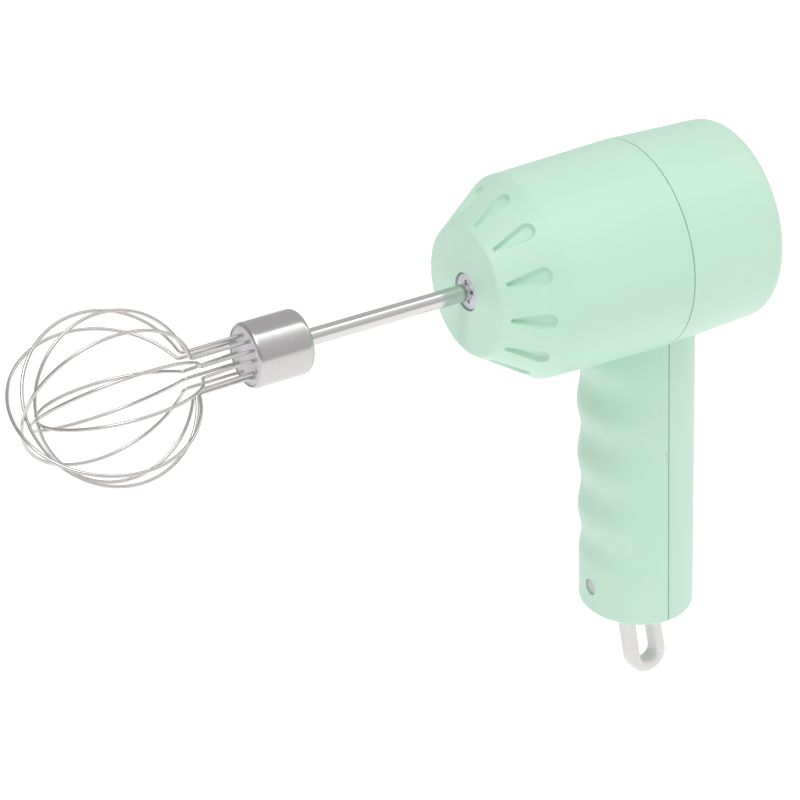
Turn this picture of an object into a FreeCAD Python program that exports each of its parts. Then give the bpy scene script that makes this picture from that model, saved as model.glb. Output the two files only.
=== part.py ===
"""Cordless hand mixer: pistol housing, planetary drive and a pull-out balloon whisk.

Millimetres.  +X runs forward along the barrel to the whisk, +Y is the mixer's left side,
+Z is up.  The model is drawn with its origin where the barrel axis crosses the parting
plane of the housing; save() lifts every part so that the origin is the middle of the grip.
"""
import FreeCAD, Part
import math
import os

V = FreeCAD.Vector
X_AXIS = V(1, 0, 0)
Y_AXIS = V(0, 1, 0)

# ---------------------------------------------------------------- driving dimensions
GRIP_DROP = 88.0            # barrel axis above the middle of the grip
WALL = 2.4                  # moulded wall of both housing shells

BARREL_R = 37.0             # at the parting plane, x = 0
REAR_FACE_X = -39.5
REAR_EDGE_R = 35.3
REAR_ROUNDING = 4.6
CONE_BASE_X = 47.3
CONE_BASE_R = 35.85
NOSE_X = 68.1
NOSE_R = 22.7
NOSE_HOLE_R = 6.8

GRIP_HALF_WIDTH = 21.65     # along Y, the whole way down
GRIP_FRONT = 18.4           # mean half depth in front of the parting plane
GRIP_WAVE = 0.95            # finger waves stand this far either side of the mean
GRIP_PITCH = 21.0           # one finger
GRIP_CREST_Z = -82.4
GRIP_FRONT_FOOT = 19.0      # plain front below the finger waves
GRIP_REAR_TOP = 21.3
GRIP_REAR_FOOT = 20.5
GRIP_TOP_Z = -15.0
GRIP_FOOT_Z = -141.0
FOOT_ROUNDING = 2.2

SEAM_HALF_GAP = 0.2         # shadow line between the two shells
SEAM_DEPTH = 0.7

PETAL_COUNT = 12            # teardrop recesses round the nose cone
PETAL_CLOCKING = -4.5       # degrees from straight up
PETAL_HEAD_R = 3.0
PETAL_TIP_R = 0.85
PETAL_HEAD_AT = 0.365         # share of the way down the cone's slope, from its wide end
PETAL_TIP_AT = 0.84
PETAL_DEPTH = 1.75

BUTTON_R = 8.0
PORT_WIDTH = 8.94           # USB-C receptacle
PORT_HEIGHT = 3.2
LENS_R = 3.0
LENS_Z = -130.4

CELL_R = 9.2                # 18650 lithium cell
CELL_LENGTH = 65.0
CELL_TOP_Z = -54.0

MOTOR_R = 13.85             # 380-size motor
MOTOR_REAR_X = -24.0
MOTOR_FRONT_X = 12.0
MOTOR_SHAFT_R = 1.15

GEAR_MODULE = 0.6
SUN_TEETH = 15
PLANET_TEETH = 15
RING_TEETH = 45
PLANET_COUNT = 3
GEARBOX_R = 18.0
RUNNING_GAP = 0.05          # radial clearance of every running fit

SPINDLE_JOURNAL_R = 5.5
SPINDLE_HEAD_R = 6.4
SPINDLE_FACE_X = 67.5
SOCKET_FLOOR_X = 43.0

SHAFT_R = 3.0               # whisk shaft, 6 mm rod
SHAFT_END_X = 44.0
CUP_R = 11.3
CUP_REAR_X = 132.0
CUP_FRONT_X = 153.2
CUP_WALL = 0.9
CUP_LIP_ROUNDING = 1.5

WIRE_R = 0.6
WIRE_LOOPS = 6
WIRE_HOLE_CIRCLE_R = 7.3
WIRE_CLOCKING = 10.3        # degrees from +Y
KINK_BEND = 1.8             # wires leave the straight neck round this small bend
CAGE_DROP = 0.2             # the wire cage is set a little low in its plug
CAGE_DROOP = 1.0            # and hangs this many degrees nose down
# The wires are bent and stacked by hand.  For each loop: degrees off its even place,
# balloon radius, x of its pole, and degrees that it leans out of its own plane.
LOOP_SHAPES = ((3.9, 27.5, 227.0, -2.0), (-1.3, 29.2, 230.3, 0.0), (-3.4, 30.2, 233.9, 0.5),
               (4.3, 28.0, 228.6, 0.8), (0.5, 29.6, 232.5, -0.8), (-3.8, 31.3, 236.0, 0.7))

LOOP_TILT = 8.5             # degrees the hanging loop leans to the rear
LOOP_PIN_Z = -136.4
LOOP_PIN_R = 1.5
LOOP_STRAP = 4.1
LOOP_WIDTH = 7.2            # along Y
LOOP_EYE = 6.6              # clear width between the two legs
LOOP_BOTTOM_Z = -171.6


# ---------------------------------------------------------------- small drawing helpers
def rod(x0, x1, radius, y=0.0, z=0.0):
    """A cylinder lying along X."""
    return Part.makeCylinder(radius, x1 - x0, V(x0, y, z), X_AXIS)


def tube(x0, x1, outer, inner, y=0.0, z=0.0):
    return rod(x0, x1, outer, y, z).cut(rod(x0 - 1, x1 + 1, inner, y, z))


def block(x0, x1, y0, y1, z0, z1):
    return Part.makeBox(x1 - x0, y1 - y0, z1 - z0, V(x0, y0, z0))


def joined(shapes):
    return shapes[0].multiFuse(shapes[1:]).removeSplitter() if len(shapes) > 1 else shapes[0]


def without(shape, cutters):
    return shape.cut(Part.makeCompound(cutters)) if cutters else shape


def about_x(shape, degrees):
    turned = shape.copy()
    turned.rotate(V(0, 0, 0), X_AXIS, degrees)
    return turned


def ring_of(shape, count, start=0.0):
    """Copies of a shape evenly turned about the barrel axis."""
    return [about_x(shape, start + 360.0 * k / count) for k in range(count)]


def face_of(points):
    return Part.Face(Part.makePolygon(points + [points[0]]))


def revolved(profile):
    """A solid of revolution about X from (x, r) corners that start and end on the axis."""
    return face_of([V(x, 0, r) for x, r in profile]).revolve(V(0, 0, 0), X_AXIS, 360)


def circular_edges(shape, x, near=0.05):
    """Circles about the barrel axis that lie in the plane x."""
    found = []
    for edge in shape.Edges:
        box = edge.BoundBox
        if abs(box.XMin - x) < near and abs(box.XMax - x) < near and box.YLength > 1:
            found.append(edge)
    return found


def rounded_corner(before, corner, after, bend):
    """Start, middle and end of the arc that rounds one corner of a path."""
    incoming = (corner - before).normalize()
    outgoing = (after - corner).normalize()
    turn = incoming.getAngle(outgoing)
    reach = bend * math.tan(turn / 2)
    inward = (outgoing - incoming).normalize()
    middle = corner + inward * (bend / math.cos(turn / 2) - bend)
    return corner - incoming * reach, middle, corner + outgoing * reach


def swept(path, start, direction, radius):
    """A round wire along edges that follow each other smoothly."""
    section = Part.Wire(Part.Circle(start, direction, radius).toShape())
    return Part.Wire([piece.toShape() for piece in path]).makePipeShell([section], True, False)


def tube_along(points, radius, bend):
    """A round wire along straight runs joined by tangent arcs of one bend radius."""
    path = []
    start = points[0]
    for before, corner, after in zip(points, points[1:], points[2:]):
        entry, middle, leave = rounded_corner(before, corner, after, bend)
        path.append(Part.LineSegment(start, entry))
        path.append(Part.Arc(entry, middle, leave))
        start = leave
    path.append(Part.LineSegment(start, points[-1]))
    return swept(path, points[0], points[1] - points[0], radius)


def save(name, shape):
    """Writes one part, lifted so that the middle of the grip is the origin."""
    placed = shape.copy()
    placed.translate(V(0, 0, GRIP_DROP))
    bad = [solid for solid in placed.Solids if not solid.isValid()]
    if not placed.Solids or bad:
        raise ValueError(name + " is not a valid solid")
    placed = placed.Solids[0] if len(placed.Solids) == 1 else Part.makeCompound(placed.Solids)
    placed.exportStep("parts/" + name + ".step")
    print("%-22s %d solid(s) %10.1f mm3" % (name, len(placed.Solids), placed.Volume))


# ---------------------------------------------------------------- housing outline
def inset_outline(corners, distance):
    """Moves the straight sides of an open (x, r) outline inwards by one distance."""
    sides = []
    for (x0, r0), (x1, r1) in zip(corners, corners[1:]):
        length = math.hypot(x1 - x0, r1 - r0)
        nx, nr = (r1 - r0) / length, -(x1 - x0) / length
        sides.append((nx, nr, nx * x0 + nr * r0 + distance))
    moved = []
    for (a0, b0, c0), (a1, b1, c1) in zip(sides, sides[1:]):
        det = a0 * b1 - a1 * b0
        moved.append(((c0 * b1 - c1 * b0) / det, (a0 * c1 - a1 * c0) / det))
    return moved


def barrel_solid(inset):
    axis_low = (REAR_FACE_X, 0.0)
    axis_high = (NOSE_X, 0.0)
    outline = [axis_low, (REAR_FACE_X, REAR_EDGE_R), (0.0, BARREL_R), (CONE_BASE_X, CONE_BASE_R),
               (NOSE_X, NOSE_R), axis_high]
    inner = inset_outline(outline, inset)
    profile = [(inner[0][0], 0.0)] + inner + [(inner[-1][0], 0.0)]
    solid = revolved(profile)
    solid = solid.makeFillet(max(REAR_ROUNDING - inset, 1.0), circular_edges(solid, inner[0][0]))
    solid = solid.makeFillet(max(2.5 - inset, 0.5), circular_edges(solid, inner[2][0]))
    return solid.makeFillet(max(1.5 - inset, 0.5), circular_edges(solid, inner[3][0]))


def grip_front(z):
    """Half depth of the grip in front of the parting plane, with its finger waves."""
    wave = GRIP_FRONT + GRIP_WAVE * math.cos(2 * math.pi * (z - GRIP_CREST_Z) / GRIP_PITCH)
    low_end = GRIP_CREST_Z - 1.5 * GRIP_PITCH
    foot = min(max((low_end - z) / 8.0, 0.0), 1.0)
    foot = foot * foot * (3 - 2 * foot)
    return wave * (1 - foot) + GRIP_FRONT_FOOT * foot


def grip_rear(z):
    share = (z - GRIP_TOP_Z) / (GRIP_FOOT_Z - GRIP_TOP_Z)
    return GRIP_REAR_TOP + (GRIP_REAR_FOOT - GRIP_REAR_TOP) * share


def grip_section(z, inset):
    """Two half ellipses that meet on the parting plane."""
    centre = V(0, 0, z)
    side = V(0, GRIP_HALF_WIDTH - inset, z)
    front = Part.Ellipse(side, V(grip_front(z) - inset, 0, z), centre)
    rear = Part.Ellipse(side, V(inset - grip_rear(z), 0, z), centre)
    return Part.Wire([Part.ArcOfEllipse(half, 0, math.pi).toShape() for half in (front, rear)])


def grip_solid(inset):
    foot_z = GRIP_FOOT_Z + inset
    steps = 30
    heights = [GRIP_TOP_Z + (foot_z - GRIP_TOP_Z) * k / steps for k in range(steps + 1)]
    solid = Part.makeLoft([grip_section(z, inset) for z in heights], True, False)
    rim = [e for e in solid.Edges if e.BoundBox.ZMax < foot_z + 0.05]
    return solid.makeFillet(max(FOOT_ROUNDING - inset, 0.6), rim)


def housing_solid(inset):
    return barrel_solid(inset).fuse(grip_solid(inset)).removeSplitter()


FRONT_HALF = block(0, 90, -60, 60, -160, 60)
REAR_HALF = block(-60, 0, -60, 60, -160, 60)


# ---------------------------------------------------------------- housing details
BARREL_SCREW = (22.5, -10.0)    # y and z of the pair driven in from the rear face
FOOT_SCREW = (8.0, -134.5)      # and of the pair low in the back of the grip
SCREW_SEAT_X = -8.0
SCREW_SPOTS = [(side * y, z) for side in (-1, 1) for y, z in (BARREL_SCREW, FOOT_SCREW)]
RIB_FRONT_X = 20.0
RIB_REAR_X = -20.0
RIB_THICK = 2.0
NOSE_TUBE_R = 9.5
NOSE_TUBE_END_X = 61.0
PORT_Z = -125.2
BOARD_POSTS_Y = 15.0
SWITCH_BOARD_X = -31.0


def petal_cutter():
    """A teardrop bowl on the upper side of the cone, with a softly flared mouth."""
    along = V(NOSE_X - CONE_BASE_X, 0, NOSE_R - CONE_BASE_R)
    slope = along.Length
    along.normalize()
    outward = V(-along.z, 0, along.x)
    base = V(CONE_BASE_X, 0, CONE_BASE_R)

    def outline(widen, depth):
        head = base + along * (PETAL_HEAD_AT * slope) - outward * depth
        tip = base + along * (PETAL_TIP_AT * slope) - outward * depth
        head_r, tip_r = PETAL_HEAD_R + widen, PETAL_TIP_R + 0.6 * widen
        tangent = math.acos((head_r - tip_r) / (tip - head).Length)

        def on_circle(centre, radius, angle):
            return centre + along * (radius * math.cos(angle)) + Y_AXIS * (radius * math.sin(angle))

        head_left, head_right = on_circle(head, head_r, tangent), on_circle(head, head_r, -tangent)
        tip_left, tip_right = on_circle(tip, tip_r, tangent), on_circle(tip, tip_r, -tangent)
        return Part.Wire([Part.Arc(head_left, on_circle(head, head_r, math.pi), head_right).toShape(),
                          Part.LineSegment(head_right, tip_right).toShape(),
                          Part.Arc(tip_right, on_circle(tip, tip_r, 0), tip_left).toShape(),
                          Part.LineSegment(tip_left, head_left).toShape()])

    # how far the wall stands outside the drawn teardrop, at each depth
    wall = ((1.1, -0.6), (0.3, -0.02), (0.05, 0.25), (-0.35, 1.05), (-1.0, PETAL_DEPTH))
    return Part.makeLoft([outline(widen, depth) for widen, depth in wall], True, True)


def grip_rib(x0, inner_r):
    """A plate across the barrel with a round seat, cut away where the grip opens below it."""
    plate = tube(x0, x0 + RIB_THICK, BARREL_R - 1.0, inner_r)
    return without(plate, [block(x0 - 1, x0 + RIB_THICK + 1, -12, 12, -60, -inner_r + 2)])


def loop_slot():
    half_x = 10.6
    half_y = LOOP_WIDTH / 2 + 0.4
    return block(-half_x, half_x, -half_y, half_y, GRIP_FOOT_Z - 5, GRIP_FOOT_Z + WALL + 0.2)


def loop_pin_ears():
    ears = []
    for side in (-1, 1):
        inner = side * (LOOP_WIDTH / 2 + 0.4)
        outer = inner + side * 2.6
        low, high = min(inner, outer), max(inner, outer)
        ears.append(block(-3.2, 3.2, low, high, GRIP_FOOT_Z + 1, LOOP_PIN_Z + 3.0))
    return ears


def loop_pin_solid():
    half = LOOP_WIDTH / 2 + 2.6
    return Part.makeCylinder(LOOP_PIN_R, 2 * half, V(0, -half, LOOP_PIN_Z), Y_AXIS)


def build_shells():
    outer = housing_solid(0.0)
    cavity = housing_solid(WALL)
    trim = housing_solid(0.9)
    walls = outer.cut(cavity)

    shadow = block(-SEAM_HALF_GAP, SEAM_HALF_GAP, -60, 60, -160, 60).cut(housing_solid(SEAM_DEPTH))
    lip_outer = housing_solid(1.35)
    lip = lip_outer.cut(cavity).common(block(-0.5, 1.5, -60, 60, -160, 60))
    rabbet = housing_solid(1.3).cut(housing_solid(WALL + 0.3)).common(block(0, 1.6, -60, 60, -160, 60))

    pin_hole = loop_pin_solid()
    shared_cuts = [shadow, loop_slot(), pin_hole]

    # front shell: gearbox rib, nose locating ring, screw posts with pilot holes
    front_extras = [grip_rib(RIB_FRONT_X, GEARBOX_R),
                    tube(57.5, NOSE_X - 1.0, NOSE_TUBE_R + 2, NOSE_TUBE_R)]
    front_extras += [rod(0, 20, 3.4, y, z) for y, z in SCREW_SPOTS] + loop_pin_ears()
    front_added = Part.makeCompound(front_extras).common(trim).common(FRONT_HALF)
    front = walls.common(FRONT_HALF).multiFuse(front_added.Solids)
    front_cuts = shared_cuts + [rabbet, rod(60, 80, NOSE_HOLE_R)]
    front_cuts += [rod(-1, 8, 1.1, y, z) for y, z in SCREW_SPOTS]
    front_cuts += [rod(11.5, 30, LENS_R + 0.04, 0, LENS_Z)]
    front_cuts += ring_of(petal_cutter(), PETAL_COUNT, PETAL_CLOCKING)
    front = without(front, front_cuts)

    # rear shell: motor rib, button guide, board posts, counterbored screw posts, charging port
    rear_extras = [grip_rib(RIB_REAR_X, MOTOR_R), tube(REAR_FACE_X + 1, -32.4, 11.0, 9.5)]
    rear_extras += [rod(REAR_FACE_X + 1, SWITCH_BOARD_X, 2.6, y) for y in (-BOARD_POSTS_Y, BOARD_POSTS_Y)]
    rear_extras += [rod(-45, 0, 3.9, y, z) for y, z in SCREW_SPOTS] + loop_pin_ears()
    rear_added = Part.makeCompound(rear_extras).common(trim).common(REAR_HALF)
    rear = walls.common(REAR_HALF).multiFuse(rear_added.Solids + lip.Solids)
    rear_cuts = shared_cuts + [rod(-45, -36, BUTTON_R + 0.3)]
    rear_cuts += [rod(-45, SCREW_SEAT_X, 2.9, y, z) for y, z in SCREW_SPOTS]
    rear_cuts += [rod(-30, 1, 1.45, y, z) for y, z in SCREW_SPOTS]
    rear_cuts += [rod(-35.5, -30, 0.9, y) for y in (-BOARD_POSTS_Y, BOARD_POSTS_Y)]
    rear_cuts += [rounded_bar(-25, -17, PORT_WIDTH + 0.3, PORT_HEIGHT + 0.3, PORT_Z),
                  rounded_bar(-25, -19.6, PORT_WIDTH + 3.6, PORT_HEIGHT + 3.6, PORT_Z)]
    rear = without(rear, rear_cuts)
    save("front_shell", front)
    save("rear_shell", rear)


def rounded_bar(x0, x1, width, height, z):
    """A bar along X with fully rounded short sides, the shape of a USB-C mouth."""
    radius = height / 2
    offset = width / 2 - radius
    middle = block(x0, x1, -offset, offset, z - radius, z + radius)
    return joined([middle, rod(x0, x1, radius, -offset, z), rod(x0, x1, radius, offset, z)])


def build_housing_screws():
    screws = []
    for y, z in SCREW_SPOTS:
        head = rod(SCREW_SEAT_X - 1.7, SCREW_SEAT_X, 2.6, y, z)
        shank = rod(SCREW_SEAT_X, 7.0, 1.1, y, z)
        cross = [block(-11, SCREW_SEAT_X - 0.7, y - 1.5, y + 1.5, z - 0.3, z + 0.3),
                 block(-11, SCREW_SEAT_X - 0.7, y - 0.3, y + 0.3, z - 1.5, z + 1.5)]
        screws.append(without(head.fuse(shank), cross))
    save("housing_screws", Part.makeCompound(screws))


# ---------------------------------------------------------------- button and its switch
def build_button():
    cap = rod(REAR_FACE_X + 0.4, -37.0, BUTTON_R)
    cap = cap.makeFillet(0.8, circular_edges(cap, REAR_FACE_X + 0.4))
    dish = Part.makeSphere(60.0, V(REAR_FACE_X + 0.4 - 59.5, 0, 0))
    flange = rod(-37.0, -35.9, 9.1)
    stem = rod(-35.9, -35.4, 1.6)
    save("speed_button", joined([cap.cut(dish), flange, stem]))


TERMINAL_Y = 6.0


def terminal_bar(x0, x1, side, half_width, half_height):
    """A flat bar along X at one of the two motor terminals."""
    middle = side * TERMINAL_Y
    return block(x0, x1, middle - half_width, middle + half_width, -half_height, half_height)


def build_switch_board():
    board = block(SWITCH_BOARD_X, SWITCH_BOARD_X + 1.4, -18.0, 18.0, -18.5, 11.5)
    holes = [rod(-33, -28, 1.1, y) for y in (-BOARD_POSTS_Y, BOARD_POSTS_Y)]
    holes += [terminal_bar(-33, -28, side, 1.1, 0.6) for side in (-1, 1)]
    save("switch_board", without(board, holes))
    body = block(-34.0, SWITCH_BOARD_X, -3, 3, -3, 3)
    save("tact_switch", joined([body, rod(-34.15, -34.0, 1.7)]))
    screws = []
    for y in (-BOARD_POSTS_Y, BOARD_POSTS_Y):
        screws.append(joined([rod(-35.0, SWITCH_BOARD_X + 1.4, 0.9, y),
                              rod(SWITCH_BOARD_X + 1.4, SWITCH_BOARD_X + 2.5, 1.9, y)]))
    save("board_screws", Part.makeCompound(screws))


# ---------------------------------------------------------------- charging and indicator
CHARGE_BOARD_Z = -128.4
CHARGE_BOARD_THICK = 1.6


def build_charge_group():
    top = CHARGE_BOARD_Z + CHARGE_BOARD_THICK
    save("charge_board", block(-15.5, 11.0, -8.5, 8.5, CHARGE_BOARD_Z, top))
    shell = rounded_bar(-20.2, -12.9, PORT_WIDTH, PORT_HEIGHT, PORT_Z)
    hollow = rounded_bar(-21, -13.9, PORT_WIDTH - 0.6, PORT_HEIGHT - 0.6, PORT_Z)
    tongue = block(-19.2, -13.4, -3.35, 3.35, PORT_Z - 0.35, PORT_Z + 0.35)
    save("usb_socket", joined([shell.cut(hollow), tongue]))
    save("led_chip", block(8.4, 10.6, -1.6, 1.6, LENS_Z - 1.2, CHARGE_BOARD_Z))
    lens = rod(11.6, grip_front(LENS_Z) - 0.7, LENS_R, 0, LENS_Z)
    rim = [e for e in lens.Edges if e.BoundBox.XMin > grip_front(LENS_Z) - 0.8]
    save("indicator_lens", lens.makeFillet(0.3, rim))


# ---------------------------------------------------------------- battery
def build_battery():
    bottom = CELL_TOP_Z - CELL_LENGTH
    can = Part.makeCylinder(CELL_R, CELL_LENGTH - 0.8, V(0, 0, bottom))
    groove_z = CELL_TOP_Z - 4.5
    groove = Part.makeTorus(CELL_R + 0.35, 0.9, V(0, 0, groove_z))
    cap = Part.makeCylinder(4.0, 1.6, V(0, 0, CELL_TOP_Z - 1.6))
    save("battery_cell", joined([can.cut(groove), cap]))

    cradle_r = CELL_R + 1.2
    cradle = Part.makeCylinder(cradle_r, 48, V(0, 0, bottom + 6))
    cradle = cradle.cut(Part.makeCylinder(CELL_R, 60, V(0, 0, bottom)))
    mouth = block(0.5 * cradle_r, 30, -30, 30, bottom, CELL_TOP_Z)
    windows = [block(-30, 30, -4, 4, bottom + low, bottom + low + 12) for low in (12, 34)]
    save("battery_cradle", without(cradle, [mouth] + windows))

    tabs = [block(-4, 8.5, -2, 2, z, z + 0.3) for z in (CELL_TOP_Z, bottom - 0.3)]
    save("battery_tabs", Part.makeCompound(tabs))


LEAD_R = 0.7


def build_leads():
    """Battery and charging leads, bent up the back of the grip to the switch board."""
    board_top = CHARGE_BOARD_Z + CHARGE_BOARD_THICK
    board_face = SWITCH_BOARD_X + 1.4
    pad_z = -16.0
    for name, y in (("charge_lead_red", 7.5), ("charge_lead_black", -7.5)):
        route = [V(-12.5, y, board_top), V(-12.5, y, -29), V(-24, y, pad_z), V(board_face, y, pad_z)]
        save(name, tube_along(route, LEAD_R, 2.4))
    tab_x = 6.5
    cell_foot = CELL_TOP_Z - CELL_LENGTH
    high = [V(tab_x, 0, CELL_TOP_Z + 0.3), V(tab_x, 0, -44), V(-12, 3, -29),
            V(-24, 3, pad_z), V(board_face, 3, pad_z)]
    low = [V(tab_x, 0, cell_foot - 0.3), V(tab_x, 0, -122),
           V(tab_x + 1, 3, -124.5), V(tab_x + 1, 3, board_top)]
    save("battery_lead_red", tube_along(high, LEAD_R, 2.4))
    save("battery_lead_black", tube_along(low, LEAD_R, 1.0))


# ---------------------------------------------------------------- motor
def build_motor():
    can = rod(MOTOR_REAR_X, MOTOR_FRONT_X, MOTOR_R)
    can = can.makeFillet(1.2, circular_edges(can, MOTOR_FRONT_X))
    can = without(can, [rod(MOTOR_REAR_X - 1, MOTOR_FRONT_X - 1.2, MOTOR_R - 1.0), rod(0, 20, 3.0)]
                  + [rod(0, 20, 1.25, side * 8.0) for side in (-1, 1)])
    save("motor_can", can)

    magnets = []
    for side in (0, 180):
        arc = tube(-16, 8, MOTOR_R - 1.0, 9.9)
        arc = arc.common(block(-20, 20, -30, 30, 4.2, 30))
        magnets.append(about_x(arc, side))
    save("motor_magnets", Part.makeCompound(magnets))

    cap = rod(-26.6, MOTOR_REAR_X, MOTOR_R).fuse(rod(-28.2, -26.6, 4.4))
    cap_slots = [terminal_bar(-30, -20, side, 1.0, 0.5) for side in (-1, 1)]
    save("motor_end_cap", without(cap, [rod(-27.6, MOTOR_REAR_X + 1, 3.0)] + cap_slots))
    terminals = [terminal_bar(-30.2, MOTOR_REAR_X, side, 1.0, 0.5) for side in (-1, 1)]
    save("motor_terminals", Part.makeCompound(terminals))

    gap_r = MOTOR_SHAFT_R + RUNNING_GAP
    save("motor_bush_front", tube(10.2, 13.6, 3.0, gap_r))
    save("motor_bush_rear", tube(-27.6, -24.4, 3.0, gap_r))
    save("motor_shaft", rod(-27.2, 24.6, MOTOR_SHAFT_R))

    core = rod(-12, 6, 9.4)
    slots = ring_of(block(-20, 20, -1.0, 1.0, 5.0, 12), 3, 60)
    coils = [tube(-14.5, -12, 8.2, 3.4), tube(6, 8.5, 8.2, 3.4)]
    armature = joined([without(core, slots)] + coils)
    save("motor_armature", armature.cut(rod(-30, 30, MOTOR_SHAFT_R)))
    commutator = without(tube(-21, -15.2, 3.2, MOTOR_SHAFT_R),
                         ring_of(block(-22, -16.2, -0.2, 0.2, 2.6, 4), 3, 0))
    save("motor_commutator", commutator)
    brushes = [block(-20, -17.4, y, y + 6, -1.5, 1.5).cut(rod(-30, 0, 3.26)) for y in (-8, 2)]
    save("motor_brushes", Part.makeCompound(brushes))

    screws = [joined([rod(10.2, 14.0, 1.25, y), rod(14.0, 14.9, 2.3, y)]) for y in (-8.0, 8.0)]
    save("motor_screws", Part.makeCompound(screws))


# ---------------------------------------------------------------- planetary gearbox
PRESSURE = math.radians(20)
ADDENDUM = 0.85 * GEAR_MODULE
DEDENDUM = 1.2 * GEAR_MODULE
BACKLASH = 0.10
SUN_R = SUN_TEETH * GEAR_MODULE / 2
PLANET_R = PLANET_TEETH * GEAR_MODULE / 2
RING_R = RING_TEETH * GEAR_MODULE / 2
CARRIER_ARM = SUN_R + PLANET_R
PLANET_PIN_R = 1.0


def gear_outline(teeth, low_r, high_r, thinning):
    """Involute tooth outline in the YZ plane, with one tooth pointing straight up."""
    pitch_r = teeth * GEAR_MODULE / 2
    base_r = pitch_r * math.cos(PRESSURE)

    def involute(radius):
        pressure = math.acos(min(base_r / radius, 1.0))
        return math.tan(pressure) - pressure

    def half_angle(radius):
        return math.pi / (2 * teeth) - thinning / (2 * pitch_r) + involute(pitch_r) - involute(radius)

    steps = 6
    radii = [low_r + (high_r - low_r) * k / steps for k in range(steps + 1)]
    flank = [(radius, half_angle(radius)) for radius in radii]
    points = []
    for tooth in range(teeth):
        centre = math.pi / 2 + 2 * math.pi * tooth / teeth
        sides = [(r, centre - a) for r, a in flank] + [(r, centre + a) for r, a in reversed(flank)]
        points += [V(0, r * math.cos(angle), r * math.sin(angle)) for r, angle in sides]
    return points


def gear_solid(x0, x1, teeth, low_r, high_r, thinning):
    face = face_of(gear_outline(teeth, low_r, high_r, thinning))
    solid = face.extrude(V(x1 - x0, 0, 0))
    solid.translate(V(x0, 0, 0))
    return solid


def planet_spots():
    for k in range(PLANET_COUNT):
        angle = math.radians(90 + 360.0 * k / PLANET_COUNT)
        yield k, CARRIER_ARM * math.cos(angle), CARRIER_ARM * math.sin(angle)


def build_gearbox():
    sun = gear_solid(14.6, 24.6, SUN_TEETH, SUN_R - DEDENDUM, SUN_R + ADDENDUM, BACKLASH)
    save("sun_pinion", sun.cut(rod(0, 30, MOTOR_SHAFT_R)))

    planet = gear_solid(15.4, 24.4, PLANET_TEETH, PLANET_R - DEDENDUM, PLANET_R + ADDENDUM, BACKLASH)
    planet = planet.cut(rod(0, 30, PLANET_PIN_R + RUNNING_GAP))
    pins = []
    for k, y, z in planet_spots():
        gear = about_x(planet, 360.0 * k / PLANET_COUNT)
        gear.translate(V(0, y, z))
        save("planet_gear_%d" % (k + 1), gear)
        pins.append(rod(15.2, 27.4, PLANET_PIN_R, y, z))
    save("planet_pins", Part.makeCompound(pins))

    carrier = rod(25.0, 27.4, 12.4)
    carrier = without(carrier, pins + [rod(20, 30, 4.0)])
    save("carrier_plate", carrier)

    teeth_space = gear_solid(14.9, 25.0, RING_TEETH, RING_R - ADDENDUM, RING_R + DEDENDUM, -BACKLASH)
    box = rod(MOTOR_FRONT_X, 29.5, GEARBOX_R)
    screw_spots = [about_x(rod(22, 33, 1.0, 0, 16.3), 60 + 120 * k) for k in range(3)]
    box = without(box, [teeth_space, rod(24.9, 30, 14.4), rod(10, 15, 3.0), rod(14.0, 15.0, 12.5)]
                  + [rod(10, 15, 1.25, side * 8.0) for side in (-1, 1)] + screw_spots)
    save("gearbox_housing", box)

    cover = joined([rod(29.5, 31.5, GEARBOX_R), rod(31.5, NOSE_TUBE_END_X, NOSE_TUBE_R)])
    save("gearbox_cover", without(cover, [rod(20, 70, 7.5)] + screw_spots))
    heads = [about_x(rod(31.5, 32.8, 1.7, 0, 16.3), 60 + 120 * k) for k in range(3)]
    shanks = [about_x(rod(22.5, 31.5, 1.0, 0, 16.3), 60 + 120 * k) for k in range(3)]
    save("gearbox_screws", Part.makeCompound([head.fuse(shank) for head, shank in zip(heads, shanks)]))


# ---------------------------------------------------------------- output spindle
EAR_COUNT = 4
EAR_CLOCKING = 13.0 - 90.0   # the ears are drawn pointing up


def build_spindle():
    bore_r = SPINDLE_JOURNAL_R + RUNNING_GAP
    save("spindle_bush_rear", tube(31.5, 38.5, 7.5, bore_r))
    save("spindle_bush_front", tube(53.0, NOSE_TUBE_END_X, 7.5, bore_r))

    head = rod(61.6, SPINDLE_FACE_X, SPINDLE_HEAD_R)
    head = head.makeFillet(0.4, circular_edges(head, SPINDLE_FACE_X))
    body = joined([rod(25.0, 27.4, 4.0), rod(27.4, 61.6, SPINDLE_JOURNAL_R), head])
    ear_slots = ring_of(block(57.5, 70, -0.75, 0.75, 0, 4.1), EAR_COUNT, EAR_CLOCKING)
    ring_groove = rod(49.0, 51.0, 4.7)
    socket = rod(SOCKET_FLOOR_X, 70, SHAFT_R + RUNNING_GAP)
    save("output_spindle", without(body, [socket, ring_groove] + ear_slots))
    save("grip_ring", tube(49.0, 51.0, 4.7, SHAFT_R + 0.03))


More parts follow.
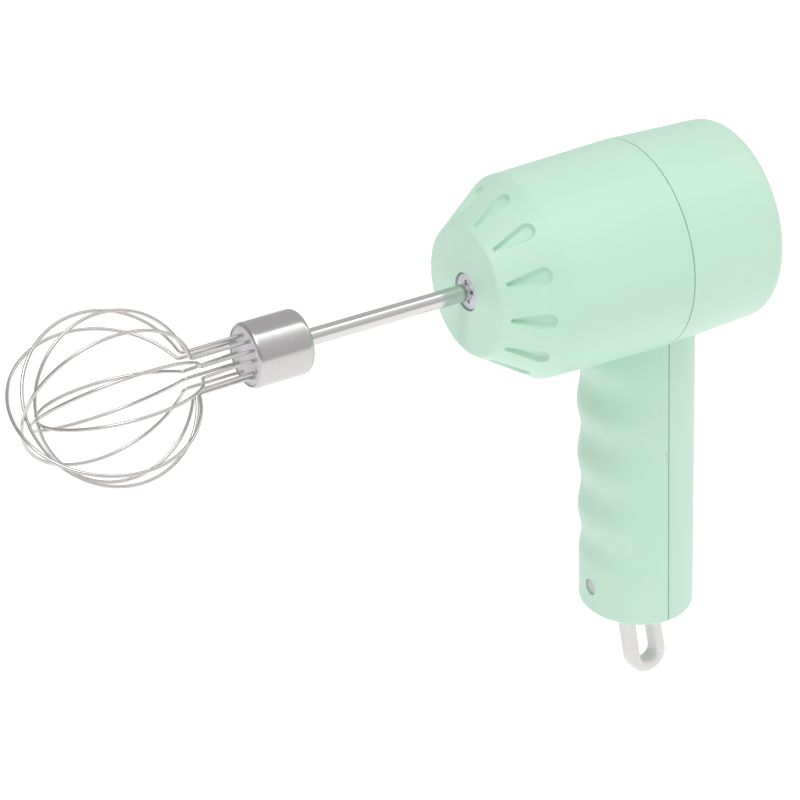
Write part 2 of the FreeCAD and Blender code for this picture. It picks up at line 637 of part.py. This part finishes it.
# ---------------------------------------------------------------- whisk
def build_whisk():
    shaft = rod(SHAFT_END_X, CUP_REAR_X + 9, SHAFT_R)
    shaft = shaft.makeChamfer(0.8, circular_edges(shaft, SHAFT_END_X))
    ears = ring_of(block(60.0, 66.9, -0.55, 0.55, SHAFT_R - 0.6, SHAFT_R + 0.8), EAR_COUNT, EAR_CLOCKING)
    save("whisk_shaft", joined([shaft] + ears))

    cup = rod(CUP_REAR_X, CUP_FRONT_X, CUP_R)
    cup = cup.makeFillet(2.6, circular_edges(cup, CUP_REAR_X))
    cup = cup.makeFillet(CUP_LIP_ROUNDING, circular_edges(cup, CUP_FRONT_X))
    hollow = rod(CUP_REAR_X + CUP_WALL, CUP_FRONT_X + 1, CUP_R - CUP_WALL)
    hollow = hollow.makeFillet(1.8, circular_edges(hollow, CUP_REAR_X + CUP_WALL))
    save("whisk_cup", without(cup, [hollow, rod(120, 140, SHAFT_R)]))

    plug_face = CUP_FRONT_X - 0.7
    core = rod(CUP_REAR_X + CUP_WALL, plug_face, CUP_R - CUP_WALL)
    core = core.makeFillet(1.8, circular_edges(core, CUP_REAR_X + CUP_WALL))
    holes = [rod(WIRE_ROOT_X, 160, WIRE_R + 0.02, *wire_root(k)) for k in range(2 * WIRE_LOOPS)]
    save("wire_plug", without(core, holes + [rod(120, CUP_REAR_X + 9, SHAFT_R)]))

    for k in range(WIRE_LOOPS):
        save("whisk_wire_%d" % (k + 1), wire_loop(k))


WIRE_ROOT_X = CUP_FRONT_X - 11.0
CAGE_ROOT_X = CUP_FRONT_X + 1.8      # here the wires turn from the plug's direction to the cage's
CAGE_PLACE = FreeCAD.Placement(V(CAGE_ROOT_X, 0, -CAGE_DROP), FreeCAD.Rotation(0, CAGE_DROOP, 0))
CAGE_BEND = 20.0


def cage_point(k, x, r):
    """A point of loop k, x ahead of the cage's root and r out from its middle line."""
    turned, _, _, lean = LOOP_SHAPES[k]
    angle = math.radians(WIRE_CLOCKING + 180.0 * k / WIRE_LOOPS + turned)
    aside = x * math.sin(math.radians(lean))
    y = r * math.cos(angle) - aside * math.sin(angle)
    z = r * math.sin(angle) + aside * math.cos(angle)
    return CAGE_PLACE.multVec(V(x, y, z))


def wire_root(k):
    """Y and Z of one of the plug's holes; the second half of them are opposite the first."""
    side = 1 if k < WIRE_LOOPS else -1
    corner = cage_point(k % WIRE_LOOPS, 0, side * WIRE_HOLE_CIRCLE_R)
    return corner.y, corner.z


def wire_loop(k):
    """One wire: out of the plug, bent sharply outwards, round the balloon and back in opposite.

    The loops are stacked, so that each crosses the pole clear of the others.
    """
    _, radius, pole, _ = LOOP_SHAPES[k]
    pole_x = pole - CAGE_ROOT_X
    centre_x = pole_x - radius
    bend_r = WIRE_HOLE_CIRCLE_R + KINK_BEND
    bend_x = centre_x - math.sqrt((radius + KINK_BEND) ** 2 - bend_r ** 2)
    toward = math.atan2(bend_r, bend_x - centre_x)
    swing = (toward - math.pi) / 2 - math.pi / 4

    def leg(side):
        """Root, the small turn in front of the plug, the kink and where the balloon takes over."""
        corner = cage_point(k, 0, side * WIRE_HOLE_CIRCLE_R)
        root = V(WIRE_ROOT_X, corner.y, corner.z)
        kink = cage_point(k, bend_x, side * WIRE_HOLE_CIRCLE_R)
        entry, turn, leave = rounded_corner(root, corner, kink, CAGE_BEND)
        half_x = bend_x + KINK_BEND * math.cos(swing)
        half = cage_point(k, half_x, side * (bend_r + KINK_BEND * math.sin(swing)))
        join = cage_point(k, centre_x + radius * math.cos(toward), side * radius * math.sin(toward))
        return root, entry, turn, leave, kink, half, join

    root_a, entry_a, turn_a, leave_a, kink_a, half_a, join_a = leg(1)
    root_b, entry_b, turn_b, leave_b, kink_b, half_b, join_b = leg(-1)
    path = [Part.LineSegment(root_a, entry_a), Part.Arc(entry_a, turn_a, leave_a),
            Part.LineSegment(leave_a, kink_a), Part.Arc(kink_a, half_a, join_a),
            Part.Arc(join_a, cage_point(k, pole_x, 0), join_b),
            Part.Arc(join_b, half_b, kink_b), Part.LineSegment(kink_b, leave_b),
            Part.Arc(leave_b, turn_b, entry_b), Part.LineSegment(entry_b, root_b)]
    return swept(path, root_a, X_AXIS, WIRE_R)


# ---------------------------------------------------------------- hanging loop
def build_hang_loop():
    save("loop_pin", loop_pin_solid())
    inner_r = LOOP_EYE / 2
    outer_r = inner_r + LOOP_STRAP
    top_z = LOOP_PIN_Z + LOOP_PIN_R + RUNNING_GAP - inner_r
    drop = (LOOP_PIN_Z - LOOP_BOTTOM_Z - outer_r) / math.cos(math.radians(LOOP_TILT)) + 0.2
    bottom_z = LOOP_PIN_Z - drop

    def stadium(radius):
        length = top_z - bottom_z
        half = LOOP_WIDTH / 2
        ends = [Part.makeCylinder(radius, 2 * half, V(0, -half, z), Y_AXIS) for z in (top_z, bottom_z)]
        return joined([block(-radius, radius, -half, half, bottom_z, bottom_z + length)] + ends)

    ring = stadium(outer_r).cut(stadium(inner_r))
    long_edges = [e for e in ring.Edges if e.BoundBox.YLength < 0.01]
    ring = ring.makeFillet(1.5, long_edges)
    ring.rotate(V(0, 0, LOOP_PIN_Z), Y_AXIS, LOOP_TILT)
    save("hang_loop", ring)


def build_all():
    os.makedirs("parts", exist_ok=True)
    build_shells()
    build_housing_screws()
    build_button()
    build_switch_board()
    build_charge_group()
    build_battery()
    build_leads()
    build_motor()
    build_gearbox()
    build_spindle()
    build_whisk()
    build_hang_loop()


build_all()
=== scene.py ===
import bpy
import math
from mathutils import Matrix, Vector

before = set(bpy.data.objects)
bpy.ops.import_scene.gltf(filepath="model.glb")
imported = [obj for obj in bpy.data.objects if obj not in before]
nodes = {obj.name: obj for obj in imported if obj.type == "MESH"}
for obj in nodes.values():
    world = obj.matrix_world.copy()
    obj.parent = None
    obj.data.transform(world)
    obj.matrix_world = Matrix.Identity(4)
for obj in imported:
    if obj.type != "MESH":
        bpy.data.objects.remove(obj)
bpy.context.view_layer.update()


# ---------------------------------------------------------------- housing shells
# Two half shells moulded in pale mint ABS, split on the plane through the grip.
# The tool was spark eroded, so the skin carries a fine satin grain.
MINT = (0.525, 0.765, 0.62, 1.0)
MINT_PALE = (0.555, 0.79, 0.65, 1.0)


def add(tree, kind, **settings):
    """A shader node with its settings."""
    node = tree.nodes.new(kind)
    for name, value in settings.items():
        setattr(node, name, value)
    return node


def socket(group, name, way, kind="NodeSocketFloat", value=None):
    """An input or an output of a node group."""
    made = group.interface.new_socket(name=name, in_out=way, socket_type=kind)
    if value is not None:
        made.default_value = value


def moulded_skin():
    """Spark-eroded grain, slow tone drift and faint rub marks of a moulding."""
    group = bpy.data.node_groups.new("moulded_skin", "ShaderNodeTree")
    socket(group, "Coords", "INPUT", "NodeSocketVector")
    socket(group, "Grain Size", "INPUT", value=2200.0)
    socket(group, "Grain Depth", "INPUT", value=0.12)
    socket(group, "Tone", "OUTPUT")
    socket(group, "Rub", "OUTPUT")
    socket(group, "Normal", "OUTPUT", "NodeSocketVector")
    inp, out = add(group, "NodeGroupInput"), add(group, "NodeGroupOutput")
    drift = add(group, "ShaderNodeTexNoise")
    drift.inputs["Scale"].default_value = 26.0
    drift.inputs["Detail"].default_value = 2.0
    grain = add(group, "ShaderNodeTexNoise")
    grain.inputs["Detail"].default_value = 3.0
    grain.inputs["Roughness"].default_value = 0.6
    rub = add(group, "ShaderNodeTexNoise")
    rub.inputs["Scale"].default_value = 160.0
    rub.inputs["Detail"].default_value = 4.0
    stretch = add(group, "ShaderNodeMapping")
    stretch.inputs["Scale"].default_value = (0.35, 1.0, 1.0)
    bump = add(group, "ShaderNodeBump")
    bump.inputs["Distance"].default_value = 0.00006
    link = group.links.new
    for texture in (drift, grain):
        link(inp.outputs["Coords"], texture.inputs["Vector"])
    link(inp.outputs["Coords"], stretch.inputs["Vector"])
    link(stretch.outputs["Vector"], rub.inputs["Vector"])
    link(inp.outputs["Grain Size"], grain.inputs["Scale"])
    link(inp.outputs["Grain Depth"], bump.inputs["Strength"])
    link(grain.outputs["Fac"], bump.inputs["Height"])
    link(drift.outputs["Fac"], out.inputs["Tone"])
    link(rub.outputs["Fac"], out.inputs["Rub"])
    link(bump.outputs["Normal"], out.inputs["Normal"])
    return group


SKIN = moulded_skin()


def moulded(name, low, high, rough, grain_size=2200.0, grain_depth=0.12, coat=0.0, scatter=0.0):
    """A moulded plastic: two near tones, uneven gloss and its grain."""
    material = bpy.data.materials.new(name)
    material.use_nodes = True
    tree = material.node_tree
    shader = tree.nodes["Principled BSDF"]
    shader.inputs["Coat Weight"].default_value = coat
    shader.inputs["Coat Roughness"].default_value = 0.12
    shader.inputs["Subsurface Weight"].default_value = scatter
    shader.inputs["Subsurface Scale"].default_value = 0.002
    coords = add(tree, "ShaderNodeTexCoord")
    skin = add(tree, "ShaderNodeGroup", node_tree=SKIN)
    skin.inputs["Grain Size"].default_value = grain_size
    skin.inputs["Grain Depth"].default_value = grain_depth
    tone = add(tree, "ShaderNodeMix", data_type="RGBA")
    tone.inputs["A"].default_value = low
    tone.inputs["B"].default_value = high
    gloss = add(tree, "ShaderNodeMapRange")
    gloss.inputs["To Min"].default_value = rough - 0.05
    gloss.inputs["To Max"].default_value = rough + 0.05
    link = tree.links.new
    link(coords.outputs["Object"], skin.inputs["Coords"])
    link(skin.outputs["Tone"], tone.inputs["Factor"])
    link(tone.outputs["Result"], shader.inputs["Base Color"])
    link(skin.outputs["Rub"], gloss.inputs["Value"])
    link(gloss.outputs["Result"], shader.inputs["Roughness"])
    link(skin.outputs["Normal"], shader.inputs["Normal"])
    return material


def dress(material, *names):
    """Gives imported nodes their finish."""
    for name in names:
        slots = nodes[name].material_slots
        if not slots:
            nodes[name].data.materials.append(material)
        for slot in slots:
            slot.material = material


mint = moulded("mint_abs", MINT, MINT_PALE, 0.42)
dress(mint, "front_shell", "rear_shell")


# ---------------------------------------------------------------- speed button
# A round push button of the same ABS, a shade glossier from its polished cavity.
# It sits in the rear face of the barrel with a shallow finger dish.
button_mint = moulded("button_abs", (0.50, 0.75, 0.61, 1.0), (0.53, 0.775, 0.64, 1.0), 0.33,
                      2600.0, 0.06)
dress(button_mint, "speed_button")


# ---------------------------------------------------------------- screws and plated steel
# Self-tapping and machine screws, terminals and tabs in zinc plated steel.
# Plating has a dull mottled bloom over the cold-formed metal.
def crystal_bloom():
    """Mottled cells of zinc plating, as a tone and a fine relief."""
    group = bpy.data.node_groups.new("crystal_bloom", "ShaderNodeTree")
    socket(group, "Coords", "INPUT", "NodeSocketVector")
    socket(group, "Cell Size", "INPUT", value=900.0)
    socket(group, "Bloom", "OUTPUT")
    socket(group, "Normal", "OUTPUT", "NodeSocketVector")
    inp, out = add(group, "NodeGroupInput"), add(group, "NodeGroupOutput")
    cells = add(group, "ShaderNodeTexVoronoi")
    haze = add(group, "ShaderNodeTexNoise")
    haze.inputs["Scale"].default_value = 420.0
    haze.inputs["Detail"].default_value = 5.0
    both = add(group, "ShaderNodeMath", operation="MULTIPLY")
    bump = add(group, "ShaderNodeBump")
    bump.inputs["Strength"].default_value = 0.15
    bump.inputs["Distance"].default_value = 0.00004
    link = group.links.new
    link(inp.outputs["Coords"], cells.inputs["Vector"])
    link(inp.outputs["Cell Size"], cells.inputs["Scale"])
    link(inp.outputs["Coords"], haze.inputs["Vector"])
    link(cells.outputs["Distance"], both.inputs[0])
    link(haze.outputs["Fac"], both.inputs[1])
    link(both.outputs["Value"], out.inputs["Bloom"])
    link(haze.outputs["Fac"], bump.inputs["Height"])
    link(bump.outputs["Normal"], out.inputs["Normal"])
    return group


BLOOM = crystal_bloom()


def cast_metal(name, low, high, rough, metallic=1.0, cell_size=900.0):
    """Plated, sintered or cast metal: mottled tone and gloss."""
    material = bpy.data.materials.new(name)
    material.use_nodes = True
    tree = material.node_tree
    shader = tree.nodes["Principled BSDF"]
    shader.inputs["Metallic"].default_value = metallic
    coords = add(tree, "ShaderNodeTexCoord")
    bloom = add(tree, "ShaderNodeGroup", node_tree=BLOOM)
    bloom.inputs["Cell Size"].default_value = cell_size
    tone = add(tree, "ShaderNodeMix", data_type="RGBA")
    tone.inputs["A"].default_value = low
    tone.inputs["B"].default_value = high
    gloss = add(tree, "ShaderNodeMapRange")
    gloss.inputs["From Max"].default_value = 0.5
    gloss.inputs["To Min"].default_value = rough - 0.06
    gloss.inputs["To Max"].default_value = rough + 0.1
    link = tree.links.new
    link(coords.outputs["Object"], bloom.inputs["Coords"])
    link(bloom.outputs["Bloom"], tone.inputs["Factor"])
    link(tone.outputs["Result"], shader.inputs["Base Color"])
    link(bloom.outputs["Bloom"], gloss.inputs["Value"])
    link(gloss.outputs["Result"], shader.inputs["Roughness"])
    link(bloom.outputs["Normal"], shader.inputs["Normal"])
    return material


zinc = cast_metal("zinc_plate", (0.52, 0.53, 0.56, 1.0), (0.68, 0.69, 0.70, 1.0), 0.32)
dress(zinc, "housing_screws", "board_screws", "gearbox_screws", "motor_screws", "battery_tabs",
      "loop_pin",
      "usb_socket", "motor_shaft", "planet_pins", "carrier_plate", "sun_pinion")


# ---------------------------------------------------------------- motor
# A 380-size brushed motor: drawn steel can, ferrite magnets, wound armature,
# copper commutator with carbon brushes, sintered bronze bushes, phenolic cap.
can_steel = cast_metal("motor_can_steel", (0.45, 0.46, 0.47, 1.0), (0.60, 0.61, 0.61, 1.0), 0.28,
                       1.0, 500.0)
ferrite = cast_metal("ferrite", (0.055, 0.055, 0.06, 1.0), (0.10, 0.10, 0.105, 1.0), 0.7, 0.2,
                     1500.0)
bronze = cast_metal("sintered_bronze", (0.42, 0.28, 0.15, 1.0), (0.60, 0.42, 0.24, 1.0), 0.42,
                    1.0, 2200.0)
carbon = cast_metal("carbon_brush", (0.03, 0.03, 0.03, 1.0), (0.065, 0.065, 0.065, 1.0), 0.6, 0.1,
                    2500.0)
copper = cast_metal("bare_copper", (0.60, 0.30, 0.17, 1.0), (0.74, 0.42, 0.27, 1.0), 0.3, 1.0,
                    800.0)
dress(can_steel, "motor_can")
dress(ferrite, "motor_magnets")
dress(bronze, "motor_bush_front", "motor_bush_rear", "spindle_bush_rear", "spindle_bush_front")
dress(carbon, "motor_brushes")
dress(copper, "motor_commutator", "motor_terminals")


def enamelled_winding():
    """Turns of enamelled wire lying side by side round the armature."""
    material = bpy.data.materials.new("enamelled_winding")
    material.use_nodes = True
    tree = material.node_tree
    shader = tree.nodes["Principled BSDF"]
    shader.inputs["Metallic"].default_value = 0.6
    coords = add(tree, "ShaderNodeTexCoord")
    turns = add(tree, "ShaderNodeTexWave", wave_type="BANDS", bands_direction="X")
    turns.inputs["Scale"].default_value = 700.0
    turns.inputs["Distortion"].default_value = 0.4
    tone = add(tree, "ShaderNodeValToRGB")
    tone.color_ramp.elements[0].color = (0.20, 0.06, 0.025, 1.0)
    tone.color_ramp.elements[1].color = (0.62, 0.27, 0.12, 1.0)
    gloss = add(tree, "ShaderNodeMapRange")
    gloss.inputs["To Min"].default_value = 0.4
    gloss.inputs["To Max"].default_value = 0.22
    bump = add(tree, "ShaderNodeBump")
    bump.inputs["Strength"].default_value = 0.6
    bump.inputs["Distance"].default_value = 0.0001
    link = tree.links.new
    link(coords.outputs["Object"], turns.inputs["Vector"])
    link(turns.outputs["Fac"], tone.inputs["Fac"])
    link(turns.outputs["Fac"], gloss.inputs["Value"])
    link(turns.outputs["Fac"], bump.inputs["Height"])
    link(tone.outputs["Color"], shader.inputs["Base Color"])
    link(gloss.outputs["Result"], shader.inputs["Roughness"])
    link(bump.outputs["Normal"], shader.inputs["Normal"])
    return material


dress(enamelled_winding(), "motor_armature")
black = moulded("black_phenolic", (0.022, 0.022, 0.025, 1.0), (0.035, 0.035, 0.038, 1.0), 0.45,
                1800.0, 0.2)
dress(black, "motor_end_cap", "battery_cradle", "tact_switch")


# ---------------------------------------------------------------- boards, lamp and charging socket
# Two small glass-fibre boards under green solder mask; the weave just shows.
# The lower one carries the charge lamp and the socket shell.
def solder_mask():
    """Green lacquer over glass cloth, with traces standing slightly proud."""
    material = bpy.data.materials.new("solder_mask")
    material.use_nodes = True
    tree = material.node_tree
    shader = tree.nodes["Principled BSDF"]
    shader.inputs["Coat Weight"].default_value = 0.5
    coords = add(tree, "ShaderNodeTexCoord")
    weave = add(tree, "ShaderNodeTexChecker")
    weave.inputs["Scale"].default_value = 1400.0
    weave.inputs["Color1"].default_value = (0.018, 0.15, 0.06, 1.0)
    weave.inputs["Color2"].default_value = (0.024, 0.18, 0.075, 1.0)
    traces = add(tree, "ShaderNodeTexBrick")
    traces.inputs["Scale"].default_value = 260.0
    traces.inputs["Mortar Size"].default_value = 0.06
    traces.inputs["Color1"].default_value = (0.0, 0.0, 0.0, 1.0)
    traces.inputs["Color2"].default_value = (0.0, 0.0, 0.0, 1.0)
    traces.inputs["Mortar"].default_value = (1.0, 1.0, 1.0, 1.0)
    tone = add(tree, "ShaderNodeMix", data_type="RGBA")
    tone.inputs["B"].default_value = (0.045, 0.26, 0.10, 1.0)
    gloss = add(tree, "ShaderNodeMapRange")
    gloss.inputs["To Min"].default_value = 0.35
    gloss.inputs["To Max"].default_value = 0.22
    bump = add(tree, "ShaderNodeBump")
    bump.inputs["Strength"].default_value = 0.4
    bump.inputs["Distance"].default_value = 0.00004
    link = tree.links.new
    link(coords.outputs["Object"], weave.inputs["Vector"])
    link(coords.outputs["Object"], traces.inputs["Vector"])
    link(traces.outputs["Color"], tone.inputs["Factor"])
    link(weave.outputs["Color"], tone.inputs["A"])
    link(tone.outputs["Result"], shader.inputs["Base Color"])
    link(traces.outputs["Color"], gloss.inputs["Value"])
    link(gloss.outputs["Result"], shader.inputs["Roughness"])
    link(traces.outputs["Color"], bump.inputs["Height"])
    link(bump.outputs["Normal"], shader.inputs["Normal"])
    return material


dress(solder_mask(), "switch_board", "charge_board")
nylon = moulded("natural_nylon", (0.72, 0.71, 0.66, 1.0), (0.80, 0.79, 0.75, 1.0), 0.4, 1500.0,
                0.15, scatter=0.15)
dress(nylon, "led_chip", "gearbox_housing", "gearbox_cover", "planet_gear_1", "planet_gear_2",
      "planet_gear_3")
lens = moulded("smoke_lens", (0.40, 0.46, 0.47, 1.0), (0.47, 0.53, 0.54, 1.0), 0.2, 900.0, 0.04,
               coat=0.6)
dress(lens, "indicator_lens")


# ---------------------------------------------------------------- cell and leads
# An 18650 lithium cell in blue shrink film, wired with silicone lead.
# The film is thin and glossy and wrinkles slightly round the ends.
wrap = moulded("shrink_film", (0.04, 0.14, 0.36, 1.0), (0.055, 0.18, 0.42, 1.0), 0.25, 350.0, 0.3,
               coat=0.4)
dress(wrap, "battery_cell")
red_lead = moulded("red_silicone", (0.42, 0.015, 0.012, 1.0), (0.52, 0.025, 0.02, 1.0), 0.38,
                   1600.0, 0.2)
dress(red_lead, "charge_lead_red", "battery_lead_red")
black_lead = moulded("black_silicone", (0.012, 0.012, 0.013, 1.0), (0.022, 0.022, 0.024, 1.0),
                     0.38, 1600.0, 0.2)
dress(black_lead, "charge_lead_black", "battery_lead_black")


# ---------------------------------------------------------------- output spindle
# A light grey spindle of moulded acetal with a satin skin.
# A dull black ring of nitrile rubber in its socket grips the whisk's rod.
acetal = moulded("grey_acetal", (0.58, 0.60, 0.65, 1.0), (0.64, 0.66, 0.71, 1.0), 0.3, 1800.0, 0.08)
dress(acetal, "output_spindle")
nitrile = moulded("nitrile", (0.02, 0.02, 0.02, 1.0), (0.032, 0.032, 0.032, 1.0), 0.6, 2000.0, 0.3)
dress(nitrile, "grip_ring")


# ---------------------------------------------------------------- whisk rod and cup
# A ground and polished stainless rod pressed into a spun cup of brushed stainless.
# The polish leaves hair lines along the rod; the cup is brushed round its axis.
def draw_lines():
    """Fine parallel lines left by drawing, grinding or brushing, along one axis."""
    group = bpy.data.node_groups.new("draw_lines", "ShaderNodeTree")
    socket(group, "Coords", "INPUT", "NodeSocketVector")
    socket(group, "Stretch", "INPUT", "NodeSocketVector", (20.0, 900.0, 900.0))
    socket(group, "Depth", "INPUT", value=0.1)
    socket(group, "Lines", "OUTPUT")
    socket(group, "Normal", "OUTPUT", "NodeSocketVector")
    inp, out = add(group, "NodeGroupInput"), add(group, "NodeGroupOutput")
    scaled = add(group, "ShaderNodeVectorMath", operation="MULTIPLY")
    lines = add(group, "ShaderNodeTexNoise")
    lines.inputs["Scale"].default_value = 1.0
    lines.inputs["Detail"].default_value = 4.0
    lines.inputs["Roughness"].default_value = 0.7
    bump = add(group, "ShaderNodeBump")
    bump.inputs["Distance"].default_value = 0.00003
    link = group.links.new
    link(inp.outputs["Coords"], scaled.inputs[0])
    link(inp.outputs["Stretch"], scaled.inputs[1])
    link(scaled.outputs["Vector"], lines.inputs["Vector"])
    link(lines.outputs["Fac"], bump.inputs["Height"])
    link(inp.outputs["Depth"], bump.inputs["Strength"])
    link(lines.outputs["Fac"], out.inputs["Lines"])
    link(bump.outputs["Normal"], out.inputs["Normal"])
    return group


LINES = draw_lines()


def stainless(name, low, high, rough, spread, stretch, depth):
    """Stainless steel with worked lines in its gloss and tone."""
    material = bpy.data.materials.new(name)
    material.use_nodes = True
    tree = material.node_tree
    shader = tree.nodes["Principled BSDF"]
    shader.inputs["Metallic"].default_value = 1.0
    coords = add(tree, "ShaderNodeTexCoord")
    lines = add(tree, "ShaderNodeGroup", node_tree=LINES)
    lines.inputs["Stretch"].default_value = stretch
    lines.inputs["Depth"].default_value = depth
    tone = add(tree, "ShaderNodeMix", data_type="RGBA")
    tone.inputs["A"].default_value = low
    tone.inputs["B"].default_value = high
    gloss = add(tree, "ShaderNodeMapRange")
    gloss.inputs["To Min"].default_value = rough - spread
    gloss.inputs["To Max"].default_value = rough + spread
    link = tree.links.new
    link(coords.outputs["Object"], lines.inputs["Coords"])
    link(lines.outputs["Lines"], tone.inputs["Factor"])
    link(tone.outputs["Result"], shader.inputs["Base Color"])
    link(lines.outputs["Lines"], gloss.inputs["Value"])
    link(gloss.outputs["Result"], shader.inputs["Roughness"])
    link(lines.outputs["Normal"], shader.inputs["Normal"])
    return material


rod_steel = stainless("polished_rod", (0.62, 0.60, 0.60, 1.0), (0.74, 0.72, 0.71, 1.0), 0.14, 0.04,
                      (25.0, 1400.0, 1400.0), 0.06)
cup_steel = stainless("brushed_cup", (0.53, 0.51, 0.515, 1.0), (0.63, 0.61, 0.61, 1.0), 0.19, 0.05,
                      (1800.0, 90.0, 90.0), 0.07)
dress(rod_steel, "whisk_shaft")
dress(cup_steel, "whisk_cup")
plug = moulded("grey_plug", (0.70, 0.69, 0.72, 1.0), (0.76, 0.75, 0.78, 1.0), 0.45, 1500.0, 0.12)
dress(plug, "wire_plug")


# ---------------------------------------------------------------- balloon wires
# Spring-tempered stainless wire, bent by hand round a former and pushed into the plug.
# Electropolishing leaves it bright with a faint drawn line.
wire_steel = stainless("whisk_wire", (0.52, 0.50, 0.49, 1.0), (0.66, 0.64, 0.63, 1.0), 0.18, 0.05,
                       (500.0, 500.0, 500.0), 0.05)
dress(wire_steel, *[name for name in nodes if name.startswith("whisk_wire")])


# ---------------------------------------------------------------- hanging loop
# A loop of soft light grey thermoplastic rubber, moulded round the pin in the grip's foot.
# It is slightly milky, with rounded edges and a satin skin.
loop_rubber = moulded("loop_rubber", (0.75, 0.745, 0.73, 1.0), (0.81, 0.80, 0.79, 1.0), 0.5,
                      1200.0, 0.15,
                      scatter=0.3)
dress(loop_rubber, "hang_loop")


# ---------------------------------------------------------------- studio
# White paper far below, one soft box above and ahead of the mixer, and a surround
# whose brightness changes round the barrel and falls off towards the whisk.
FLOOR_DROP = 0.40
FLOOR_SIDE = 9.0
PAPER_TONE = 0.72
PAPER_ROUGHNESS = 0.9
PAPER_GLOW = 0.50

bpy.ops.object.select_all(action="DESELECT")
bpy.ops.mesh.primitive_plane_add(size=FLOOR_SIDE, location=(0.0, 0.0, -FLOOR_DROP))
floor = bpy.context.object
floor.name = "studio_floor"
paper = bpy.data.materials.new("white_paper")
paper.use_nodes = True
sheet = paper.node_tree.nodes["Principled BSDF"]
sheet.inputs["Base Color"].default_value = (PAPER_TONE, PAPER_TONE, PAPER_TONE, 1.0)
sheet.inputs["Roughness"].default_value = PAPER_ROUGHNESS
sheet.inputs["Emission Color"].default_value = (1.0, 1.0, 1.0, 1.0)
sheet.inputs["Emission Strength"].default_value = PAPER_GLOW
floor.data.materials.append(paper)

# Brightness round the barrel: at 0 the mixer's left, at 0.5 overhead, at 1 its right.
STUDIO_TONES = ((0.0, 0.64), (0.2, 0.72), (0.32, 0.92), (0.40, 1.5), (0.475, 2.7),
                (0.49, 0.64), (1.0, 0.60))
AHEAD_DIMMING = 0.6
world = bpy.data.worlds.new("studio_air")
world.use_nodes = True
sky = world.node_tree
heading = add(sky, "ShaderNodeTexCoord")
parts = add(sky, "ShaderNodeSeparateXYZ")
turn = add(sky, "ShaderNodeMath", operation="ARCTAN2")
share = add(sky, "ShaderNodeMath", operation="DIVIDE")
share.inputs[1].default_value = math.pi
walls = add(sky, "ShaderNodeValToRGB")
for _ in range(len(STUDIO_TONES) - 2):
    walls.color_ramp.elements.new(0.5)
for element, (at, tone) in zip(walls.color_ramp.elements, STUDIO_TONES):
    element.position = at
    element.color = (tone, tone, tone, 1.0)
ahead = add(sky, "ShaderNodeMapRange")
ahead.inputs["To Min"].default_value = 1.0
ahead.inputs["To Max"].default_value = AHEAD_DIMMING
link = sky.links.new
link(heading.outputs["Generated"], parts.inputs["Vector"])
link(parts.outputs["Z"], turn.inputs[0])
link(parts.outputs["Y"], turn.inputs[1])
link(turn.outputs["Value"], share.inputs[0])
link(share.outputs["Value"], walls.inputs["Fac"])
link(parts.outputs["X"], ahead.inputs["Value"])
link(walls.outputs["Color"], sky.nodes["Background"].inputs["Color"])
link(ahead.outputs["Result"], sky.nodes["Background"].inputs["Strength"])
bpy.context.scene.world = world
bpy.context.scene.view_settings.view_transform = "Standard"


def soft_box(name, spot, aim, width, height, watts):
    """An area lamp at a spot, facing a point."""
    lamp = bpy.data.lights.new(name, "AREA")
    lamp.shape = "RECTANGLE"
    lamp.size, lamp.size_y = width, height
    lamp.energy = watts
    box = bpy.data.objects.new(name, lamp)
    bpy.context.scene.collection.objects.link(box)
    look = (Vector(aim) - Vector(spot)).to_track_quat("-Z", "Y")
    box.matrix_world = Matrix.Translation(Vector(spot)) @ look.to_matrix().to_4x4()


KEY_SPOT = (0.9, 0.5, 2.0)
KEY_AIM = (0.05, 0.0, 0.0)
KEY_SIDE = 1.2
KEY_WATTS = 11.5
soft_box("key_box", KEY_SPOT, KEY_AIM, KEY_SIDE, KEY_SIDE, KEY_WATTS)

CAMERA_SPOT = Vector((0.704834, 1.045464, 0.683006))
CAMERA_BACK = Vector((0.447275, 0.766679, 0.460595)).normalized()
CAMERA_ROLL = math.radians(-1.8286)
LENS_MM = 182.1
SENSOR_MM = 36.0
SIGHT_END = 20.0
level = Vector((0.0, 0.0, 1.0)).cross(CAMERA_BACK).normalized()
upright = CAMERA_BACK.cross(level)
right = level * math.cos(CAMERA_ROLL) + upright * math.sin(CAMERA_ROLL)
over = upright * math.cos(CAMERA_ROLL) - level * math.sin(CAMERA_ROLL)
camera = bpy.data.objects.new("camera", bpy.data.cameras.new("camera"))
bpy.context.scene.collection.objects.link(camera)
place = Matrix((right, over, CAMERA_BACK)).transposed().to_4x4()
place.translation = CAMERA_SPOT
camera.matrix_world = place
camera.data.lens = LENS_MM
camera.data.sensor_width = SENSOR_MM
camera.data.clip_end = SIGHT_END
bpy.context.scene.camera = camera
